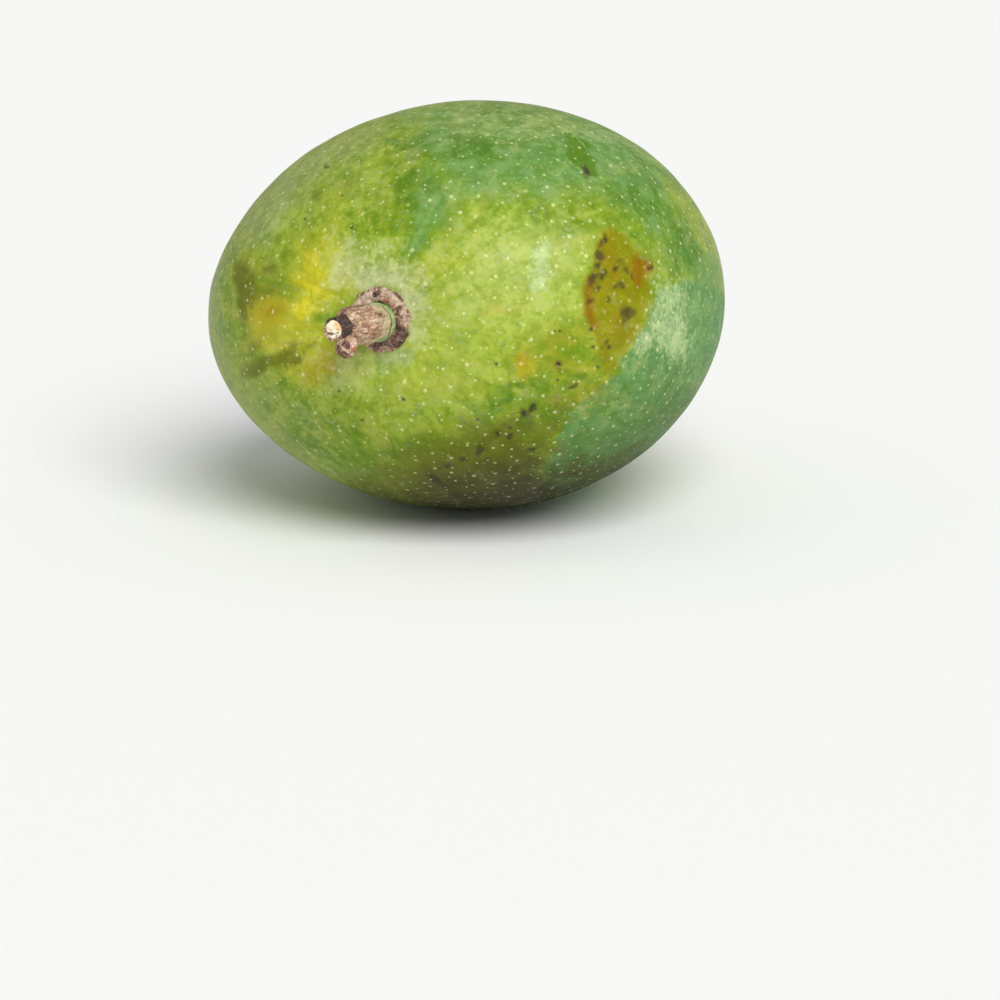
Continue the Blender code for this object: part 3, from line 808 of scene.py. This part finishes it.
def stemAxis(heights):
    # straight up, round an arc to the lean, straight on: each height's middle, and its two ways across
    start, bend = stem["bendStart"], stem["bendLength"]
    turned = stemLean * np.clip((heights - start) / bend, 0, 1)
    beyond = np.maximum(heights - start - bend, 0)
    sideways = bend / stemLean * (1 - np.cos(turned)) + beyond * np.sin(turned)
    up = np.minimum(heights, start) + bend / stemLean * np.sin(turned) + beyond * np.cos(turned)
    middles = stemSeat + sideways[..., None] * stemSide + up[..., None] * stemUp
    return middles, np.cos(turned)[..., None] * stemSide - np.sin(turned)[..., None] * stemUp, stemThrough


def movedAxis(toSide, toThrough):
    # the stem's axis, moved aside
    def axis(heights):
        middles, side, through = stemAxis(heights)
        return middles + toSide * stemSide + toThrough * stemThrough, side, through
    return axis


shaftAxis = movedAxis(*stem["inCollar"])
collarAxis = movedAxis(*stem["collarInSeat"])


def twigAxis(heights):
    # straight from inside the shaft along the twig's heading
    foot = shaftAxis(np.array(stem["twigStation"]))[0]
    heading = unit(np.array(stem["twigHeading"]))
    side = unit(stemUp - heading * (stemUp @ heading))
    sides = np.broadcast_to(side, heights.shape + (3,))
    return foot + heights[..., None] * heading, sides, np.cross(heading, side)


def turnedPiece(name, corners, size, axis, lumps, slant):
    # a profile of heights and radii, turned along an axis: middle + side r cos(t) + through r sin(t), and
    # raised along its own normal by lumps, each a height, a reach and how much it stretches lengthwise
    corners, (rows, columns) = np.array(corners), size
    steps = np.concatenate([[0], np.cumsum(np.linalg.norm(np.diff(corners, axis=0), axis=1))])
    along = np.linspace(0, steps[-1], rows)
    height, radius = (np.interp(along, steps, side) for side in corners.T)
    soften = np.ones(5) / 5  # rounds the profile's corners
    height, radius = (np.convolve(np.pad(side, 2, "edge"), soften, "valid") for side in (height, radius))
    rise, spread = np.gradient(height), np.gradient(radius)
    length = np.hypot(rise, spread) + 1e-12
    turn = 2 * pi * np.arange(columns) / columns
    height, turns = np.meshgrid(height, turn, indexing="ij")
    radius = np.repeat(radius[:, None], columns, axis=1)
    bump = np.zeros_like(radius)
    for index, (high, reach, stretch) in enumerate(lumps):
        where = np.stack([radius * np.cos(turns), radius * np.sin(turns), height / stretch], axis=-1)
        bump += high * wander(where, reach, 100 + index)
    height += bump * (-spread / length)[:, None]
    radius = np.maximum(radius + bump * (rise / length)[:, None], 1e-5)
    slanted = slant * np.clip((height - stem["length"]) / stem["slantLength"] + 1, 0, 1)
    toSide, toThrough = radius * np.cos(turns), radius * np.sin(turns)
    middles, side, through = axis(height - slanted * toSide)
    grid = middles + side * toSide[..., None] + through * toThrough[..., None]
    piece, points = closedSurface(name, grid, grid[0].mean(axis=0), grid[-1].mean(axis=0))
    heights = np.concatenate([[height[0, 0]], height.ravel(), [height[-1, 0]]])
    grain = np.stack([np.cos(turns), np.sin(turns), height / stem["grainLength"]], axis=-1).reshape(-1, 3)
    paint(piece, "grain", np.concatenate([grain[:1], grain, grain[-1:]]))
    return piece, points, heights


shaftTop, cutAt = stem["length"] - stem["tipLength"], stem["length"]
stemForms = {  # heights above the skin and radii, from the bottom's middle to the top's
    "collar": [(-0.0012, 0.0010), (-0.0012, 0.0052), (0.0000, 0.0055), (0.0006, 0.0055), (0.0011, 0.0051),
               (0.0014, 0.0045), (0.0013, 0.0039), (0.0010, 0.0034), (0.0008, 0.0028), (0.0007, 0.0004)],
    "pad": [(-0.0004, 0.0006), (-0.0002, 0.0030), (0.0010, 0.0034), (0.0016, 0.0033), (0.0018, 0.0030),
            (0.0019, 0.0006)],
    "shaft": [(0.0000, 0.0010), (0.0002, 0.0028), (0.0018, 0.0031), (0.0024, 0.0030), (0.0034, 0.0031),
              (0.0050, 0.0032), (0.0066, 0.0031), (0.0082, 0.0030), (shaftTop - 0.0004, 0.0027),
              (shaftTop + 0.0002, 0.0023), (shaftTop + 0.0003, 0.0004)],
    "tip": [(shaftTop - 0.0006, 0.0004), (shaftTop - 0.0004, 0.0021), (shaftTop + 0.0002, 0.0023),
            (shaftTop + 0.0012, 0.0020), (cutAt, 0.0019), (cutAt + 0.0001, 0.0017),
            (cutAt - 0.0002, 0.0016), (cutAt - 0.0005, 0.0014), (cutAt - 0.0006, 0.0002)],
    "pith": [(cutAt - 0.0012, 0.0002), (cutAt - 0.0012, 0.0014), (cutAt - 0.0002, 0.0016),
             (cutAt + 0.0001, 0.0012), (cutAt + 0.0002, 0.0003)],
    "twig": [(0.0004, 0.0003), (0.0006, 0.0017), (0.0030, 0.0018), (0.0046, 0.0018), (0.0053, 0.0016),
             (0.0054, 0.0012), (0.0051, 0.0008), (0.0043, 0.0005), (0.0042, 0.0001)],
}
stemLumps = {  # how high, the reach, and the stretch lengthwise
    "collar": [(0.00042, 0.00060, 1), (0.00028, 0.00028, 1), (0.00010, 0.00012, 1)],
    "pad": [(0.00008, 0.0008, 1), (0.00002, 0.0002, 1)],
    "shaft": [(0.00020, 0.00080, 2), (0.00020, 0.00036, 2), (0.00007, 0.00015, 3)],
    "tip": [(0.00020, 0.00050, 1), (0.00010, 0.00022, 1)],
    "pith": [(0.00022, 0.00036, 1), (0.00006, 0.00012, 1)],
    "twig": [(0.00014, 0.00050, 2), (0.00008, 0.00020, 2)],
}
stemGrids = {"collar": (70, 200), "pad": (36, 120), "shaft": (150, 160), "tip": (60, 120), "pith": (30, 80),
             "twig": (70, 100)}
stemMarks = {  # as the skin's marks, for each piece
    "collar": {
        "burntAndShade": [
            (1.10, 3, [(373, 344), (380, 339), (391, 335), (398, 328), (403, 326), (408, 331), (415, 334),
                (410, 343), (400, 349), (391, 347), (380, 346), (375, 352)]),
            (0.80, 1.6, [(383, 293), (391, 289), (400, 294), (404, 301), (401, 302), (397, 297),
                (390, 292)]),
            (0.75, 2.4, [(396, 304), (403, 305), (402, 309), (398, 318), (394, 315), (395, 308)]),
            # this outline and the next are painted shade, in a fold at the collar's right and in the hole at
            # its upper left; the rest is dark dried bark
            (0.85, 2.4, [(395, 318), (399, 318), (401, 326), (397, 332), (393, 328)]),
            (1.00, 1.4, [(373, 294), (377, 291), (382, 291), (382, 294), (377, 297), (373, 297)]),
        ],
        "flake": [
            (0.90, 2.5, [(402, 315), (406, 312), (409, 318), (408, 325), (404, 324)]),
            (0.75, 4.0, [(354, 304), (362, 292), (376, 294), (384, 298), (372, 306), (358, 312)]),
            (0.70, 3.0, [(384, 296), (394, 297), (398, 304), (390, 303)]),
            (0.62, 4.0, [(350, 308), (358, 292), (380, 284), (398, 290), (410, 310), (412, 328),
                (402, 326), (394, 308), (380, 298), (364, 302)]),
        ],
        "rusty": [
            (1.00, 1.6, [(384, 299), (388, 298), (389, 303), (385, 303)]),
            (1.00, 2.0, [(402, 334), (408, 336), (408, 342), (403, 341)]),
            (0.80, 1.6, [(375, 292), (378, 292), (378, 296), (374, 296)]),
        ],
    },
    "shaft": {
        "burntAndShade": [
            (0.70, 1.6, [(351, 323), (355, 323), (356, 327), (352, 327)]),
            (0.60, 1.2, [(343, 342), (352, 338), (356, 343), (350, 345)]),
        ],
        "rusty": [
            (0.80, 2.0, [(366, 309), (374, 308), (374, 311), (368, 312)]),
            (0.60, 2.0, [(371, 330), (375, 328), (376, 336), (372, 337)]),
        ],
    },
    "pith": {
        "burntAndShade": [
            (0.70, 1.6, [(324, 332), (331, 333), (340, 331), (341, 333), (332, 336), (325, 334)]),
            (0.60, 1.2, [(334, 334), (337, 334), (338, 340), (336, 341)]),
        ],
        "amber": [
            (0.95, 2.5, [(333, 320), (342, 323), (342, 332), (336, 331)]),
            (0.60, 1.5, [(324, 322), (328, 320), (328, 331), (325, 331)]),
        ],
    },
    "tip": {
        "burntAndShade": [(1.00, 2.5, [(318, 310), (356, 304), (360, 350), (345, 346), (339, 333), (328, 329)])],
    },
    "twig": {
        "burntAndShade": [
            (1.00, 1.4, [(343, 341), (349, 341), (350, 347), (345, 349), (342, 346)]),
            (0.80, 1.8, [(337, 346), (340, 346), (343, 355), (350, 359), (356, 356), (357, 361),
                (346, 363), (338, 355)]),
        ],
        "flake": [(1.00, 1.2, [(350, 353), (354, 353), (354, 357), (350, 357)])],
        "rusty": [(0.80, 1.5, [(351, 346), (356, 348), (355, 354), (352, 352)])],
    },
}


def makeStem():
    # each piece turned round its axis, with its marks
    made = {}
    for name, form in stemForms.items():
        axis = {"collar": collarAxis, "twig": twigAxis}.get(name, shaftAxis)
        slant = stem["cutSlant"] if name in ("shaft", "tip", "pith") else 0.0
        size, lumps = stemGrids[name], stemLumps[name]
        piece, points, heights = turnedPiece("stem_" + name, form, size, axis, lumps, slant)
        made[name] = piece, heights
        pixels = wandered(pixelsOf(points, camera), points, stem["edgeWander"], (50, 55))
        for mark, outlines in stemMarks.get(name, {}).items():
            paint(piece, mark, greatest(pixels, outlines))
    return made


print("stem")
stemPieces = makeStem()
for name, (piece, heights) in stemPieces.items():
    paint(piece, "green", np.full_like(heights, name == "pad"))
    paint(piece, "cream", np.full_like(heights, name == "pith"))
    if name == "shaft":
        paint(piece, "paleFoot", 1 - smoothStep(heights, *stem["paleFootEnds"]))
        paint(piece, "rim", np.exp(-(((heights - stem["rimAt"]) / stem["rimWidth"]) ** 2)))
    if name == "tip":
        paint(piece, "charred", np.ones_like(heights))

stemLook = {
    "barks": [(0.15, (90, 64, 46)), (0.40, (146, 112, 86)), (0.62, (192, 160, 132)),
              (0.88, (230, 208, 182))],
    "burnts": [(0.20, (26, 18, 20)), (0.45, (70, 50, 48)), (0.68, (120, 84, 72)),
               (0.88, (176, 142, 126))],
    "rusty": (158, 80, 50), "green": (124, 166, 92), "paleGreen": (166, 190, 126),
    "paleFoot": (192, 184, 140), "rim": (128, 72, 50), "flake": (208, 186, 170), "cream": (252, 236, 206),
    "amber": (232, 170, 96),
    "covers": {"layer": 0.85, "amber": 0.80, "burntAndShade": 0.94},
    "charring": 0.20,  # how much blacker the tip's burnt bark is
    "lumps": {  # as the skin's
        "crumbs": (0.0011, 4, 0.65, 0.8), "fine": (0.0003, 3, 0.6, 0.0), "rust": (0.0009, 2, 0.5, 0.0),
        "ash": (0.0007, 3, 0.6, 0.5),
    },
    "fibres": (0.42, 4, 0.65, 1.6), "roughness": 0.78, "relief": 0.0001,
}
stemLayers = [  # the mark, how far its edge follows the crumbs, and where its smooth step starts and ends
    ("flake", 1.0, 0.30, 0.90), ("rusty", 0.9, 0.30, 0.80), ("paleFoot", 1.5, 0.15, 0.95),
    ("rim", 0.9, 0.45, 0.80),
]


def stemMaterial():
    made, tree, shader = newMaterial("stem_bark")
    place, covers = objectPlace(tree), stemLook["covers"]
    fibres = noise(tree, paintedPlace(tree, "grain"), *stemLook["fibres"])
    lumps = {name: noise(tree, place, *kind) for name, kind in stemLook["lumps"].items()}
    crumbs, fine = lumps["crumbs"], lumps["fine"]
    shade = swayed(tree, mixedValue(tree, 0.5, fibres, crumbs), fine, 0.35)
    tone = ramp(tree, shade, [(at, colour(*bark)) for at, bark in stemLook["barks"]])
    rust = stepped(tree, lumps["rust"], 0.75, 1.0, 0.0, 0.6)
    tone = mixed(tree, rust, tone, colour(*stemLook["rusty"]))
    for name, rough, low, high in stemLayers:
        mask = ragged(tree, painted(tree, name), crumbs, rough, low, high)
        tone = mixed(tree, times(tree, mask, covers["layer"]), tone, colour(*stemLook[name]))
    greens = colour(*stemLook["green"]), colour(*stemLook["paleGreen"])
    green = mixed(tree, stepped(tree, crumbs, 0.3, 0.8), *greens)
    tone = mixed(tree, painted(tree, "green"), tone, green)
    tone = mixed(tree, painted(tree, "cream"), tone, colour(*stemLook["cream"]))
    amber = ragged(tree, painted(tree, "amber"), crumbs, 0.8, 0.3, 0.9)
    tone = mixed(tree, times(tree, amber, covers["amber"]), tone, colour(*stemLook["amber"]))
    # dark dried bark, and painted shade in the collar's hole and fold
    burntAndShade = ragged(tree, painted(tree, "burntAndShade"), crumbs, 0.9, 0.25, 0.65)
    charred = times(tree, painted(tree, "charred"), stemLook["charring"])
    ash = maths(tree, "SUBTRACT", mixedValue(tree, 0.5, lumps["ash"], fine), charred)
    black = ramp(tree, ash, [(at, colour(*shade)) for at, shade in stemLook["burnts"]])
    tone = mixed(tree, times(tree, burntAndShade, covers["burntAndShade"]), tone, black)
    shader.inputs["Roughness"].default_value = stemLook["roughness"]
    dress(tree, shader, tone, swayed(tree, crumbs, fine, 0.6), stemLook["relief"])
    return made


bark = stemMaterial()
for piece, _ in stemPieces.values():
    piece.data.materials.append(bark)
    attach(piece, "root")
    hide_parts("stem")


# Floor and light

studio = {
    "floorTone": (250, 250, 249), "floorReach": 6, "floorHeight": -0.0001,
    "skyStrength": 0.42, "sunStrength": 2.6, "sunSpread": 40,
    "sunFrom": (0.24, 0.50, 0.80),  # shares of the camera's own right, up and back
}


def makeFloor():
    # a wide level square, just under the fruit's flat spot
    mesh = bpy.data.meshes.new("floor")
    half, height = studio["floorReach"], studio["floorHeight"]
    corners = [(-half, -half, height), (half, -half, height), (half, half, height), (-half, half, height)]
    mesh.from_pydata(corners, [], [(0, 1, 2, 3)])
    floor = newObject("floor", mesh)
    made, tree, shader = newMaterial("floor")
    shader.inputs["Base Color"].default_value = colour(*studio["floorTone"])
    shader.inputs["Roughness"].default_value = 0.9
    mesh.materials.append(made)


def makeSun():
    # a wide soft sun, turned to shine from its shares of the camera's axes
    way = (camera.matrix_world.to_3x3() @ Vector(studio["sunFrom"])).normalized()
    light = bpy.data.lights.new("sun", "SUN")
    light.energy = studio["sunStrength"]
    light.angle = radians(studio["sunSpread"])
    held = newObject("sun", light)
    held.location = Vector(fruitMiddle) + way
    held.rotation_euler = way.to_track_quat("Z", "Y").to_euler()


print("floor and light")
makeFloor()
makeSun()
world = bpy.data.worlds.new("studio")
world.use_nodes = True
world.node_tree.nodes["Background"].inputs["Color"].default_value = (1, 1, 1, 1)
world.node_tree.nodes["Background"].inputs["Strength"].default_value = studio["skyStrength"]
bpy.context.scene.world = world
bpy.context.scene.view_settings.view_transform = "Standard"
